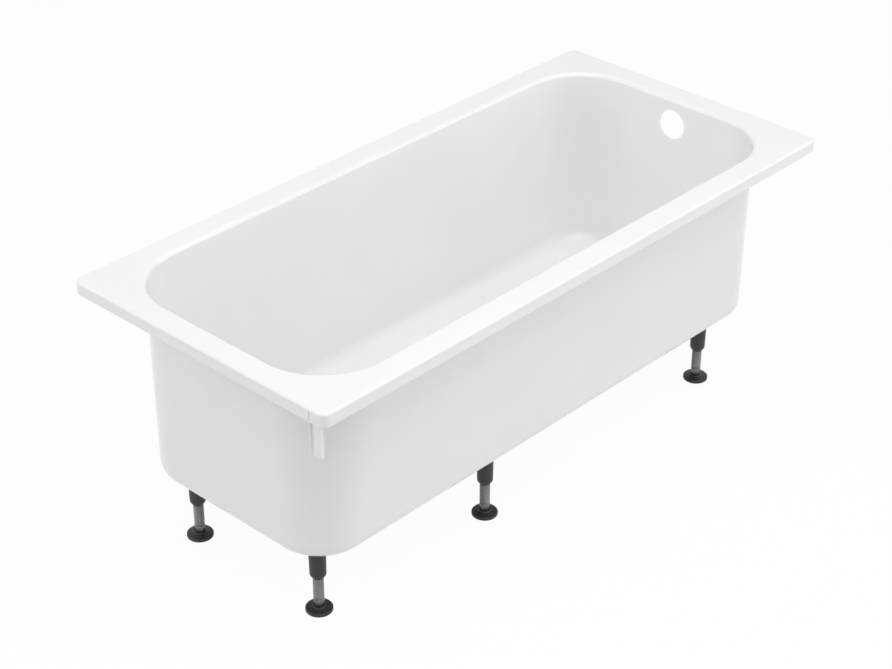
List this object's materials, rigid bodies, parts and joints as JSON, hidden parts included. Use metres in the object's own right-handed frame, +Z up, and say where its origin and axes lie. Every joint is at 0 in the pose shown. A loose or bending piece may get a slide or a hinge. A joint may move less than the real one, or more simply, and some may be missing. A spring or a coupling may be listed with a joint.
{
  "type": "rectangular bathtub",
  "caption": "Rectangular enamelled steel bath with a flat rim, deep straight-sided basin, overflow and waste holes, on screw-adjustable feet.",
  "frame": {"origin": "on the floor, under the middle of the rim, level with the undersides of the foot pads", "axes": "+X along the bath towards the overflow end, +Y from the front rim to the back rim, +Z up"},
  "size_m": [1.5, 0.7, 0.6],
  "materials": {
    "enamelled_steel": "glossy white vitreous enamel fired on pressed steel",
    "butyl_strip": "dull black self-adhesive butyl strip",
    "galvanised_steel": "galvanised sheet, faint spangle",
    "plated_steel": "zinc-plated steel",
    "plated_rod": "zinc-plated threaded rod, dull grey",
    "socket_plastic": "dark grey moulded plastic, satin",
    "pad_plastic": "black moulded plastic, satin"
  },
  "bodies": {
    "bath": {"bath_shell": "enamelled_steel", "earthing_lug": "enamelled_steel", "bonding_strip_left": "butyl_strip", "foot_rail_left": "galvanised_steel", "bonding_strip_middle": "butyl_strip", "foot_rail_middle": "galvanised_steel", "bonding_strip_right": "butyl_strip", "foot_rail_right": "galvanised_steel", "foot_socket_front_left": "socket_plastic", "socket_rivet_front_left": "plated_steel", "threaded_bush_front_left": "plated_steel", "foot_socket_back_left": "socket_plastic", "socket_rivet_back_left": "plated_steel", "threaded_bush_back_left": "plated_steel", "foot_socket_front_middle": "socket_plastic", "socket_rivet_front_middle": "plated_steel", "threaded_bush_front_middle": "plated_steel", "foot_socket_back_middle": "socket_plastic", "socket_rivet_back_middle": "plated_steel", "threaded_bush_back_middle": "plated_steel", "foot_socket_front_right": "socket_plastic", "socket_rivet_front_right": "plated_steel", "threaded_bush_front_right": "plated_steel", "foot_socket_back_right": "socket_plastic", "socket_rivet_back_right": "plated_steel", "threaded_bush_back_right": "plated_steel"},
    "pad_front_left": {"foot_pad_front_left": "pad_plastic"},
    "rod_front_left": {"foot_rod_front_left": "plated_rod"},
    "pad_back_left": {"foot_pad_back_left": "pad_plastic"},
    "rod_back_left": {"foot_rod_back_left": "plated_rod"},
    "pad_front_middle": {"foot_pad_front_middle": "pad_plastic"},
    "rod_front_middle": {"foot_rod_front_middle": "plated_rod"},
    "pad_back_middle": {"foot_pad_back_middle": "pad_plastic"},
    "rod_back_middle": {"foot_rod_back_middle": "plated_rod"},
    "pad_front_right": {"foot_pad_front_right": "pad_plastic"},
    "rod_front_right": {"foot_rod_front_right": "plated_rod"},
    "pad_back_right": {"foot_pad_back_right": "pad_plastic"},
    "rod_back_right": {"foot_rod_back_right": "plated_rod"}
  },
  "joints": [
    {"name": "foot_height_front_left", "type": "slide", "parent": "bath", "child": "pad_front_left", "axis": [0, 0, 1], "range_m": [-0.014, 0.022]},
    {"name": "rod_turn_front_left", "type": "hinge", "parent": "pad_front_left", "child": "rod_front_left", "pos_m": [-0.62, -0.178, 0], "axis": [0, 0, 1], "range_deg": [-2020, 3172]},
    {"name": "foot_height_back_left", "type": "slide", "parent": "bath", "child": "pad_back_left", "axis": [0, 0, 1], "range_m": [-0.014, 0.022]},
    {"name": "rod_turn_back_left", "type": "hinge", "parent": "pad_back_left", "child": "rod_back_left", "pos_m": [-0.62, 0.178, 0], "axis": [0, 0, 1], "range_deg": [-2020, 3172]},
    {"name": "foot_height_front_middle", "type": "slide", "parent": "bath", "child": "pad_front_middle", "axis": [0, 0, 1], "range_m": [-0.014, 0.022]},
    {"name": "rod_turn_front_middle", "type": "hinge", "parent": "pad_front_middle", "child": "rod_front_middle", "pos_m": [-0.16, -0.202, 0], "axis": [0, 0, 1], "range_deg": [-2020, 3172]},
    {"name": "foot_height_back_middle", "type": "slide", "parent": "bath", "child": "pad_back_middle", "axis": [0, 0, 1], "range_m": [-0.014, 0.022]},
    {"name": "rod_turn_back_middle", "type": "hinge", "parent": "pad_back_middle", "child": "rod_back_middle", "pos_m": [-0.16, 0.202, 0], "axis": [0, 0, 1], "range_deg": [-2020, 3172]},
    {"name": "foot_height_front_right", "type": "slide", "parent": "bath", "child": "pad_front_right", "axis": [0, 0, 1], "range_m": [-0.014, 0.022]},
    {"name": "rod_turn_front_right", "type": "hinge", "parent": "pad_front_right", "child": "rod_front_right", "pos_m": [0.565, -0.202, 0], "axis": [0, 0, 1], "range_deg": [-2020, 3172]},
    {"name": "foot_height_back_right", "type": "slide", "parent": "bath", "child": "pad_back_right", "axis": [0, 0, 1], "range_m": [-0.014, 0.022]},
    {"name": "rod_turn_back_right", "type": "hinge", "parent": "pad_back_right", "child": "rod_back_right", "pos_m": [0.565, 0.202, 0], "axis": [0, 0, 1], "range_deg": [-2020, 3172]}
  ],
  "couplings": [
    {"joint": "rod_turn_front_left", "follows": "foot_height_front_left", "rad_per_m": 2513.3},
    {"joint": "rod_turn_back_left", "follows": "foot_height_back_left", "rad_per_m": 2513.3},
    {"joint": "rod_turn_front_middle", "follows": "foot_height_front_middle", "rad_per_m": 2513.3},
    {"joint": "rod_turn_back_middle", "follows": "foot_height_back_middle", "rad_per_m": 2513.3},
    {"joint": "rod_turn_front_right", "follows": "foot_height_front_right", "rad_per_m": 2513.3},
    {"joint": "rod_turn_back_right", "follows": "foot_height_back_right", "rad_per_m": 2513.3}
  ]
}
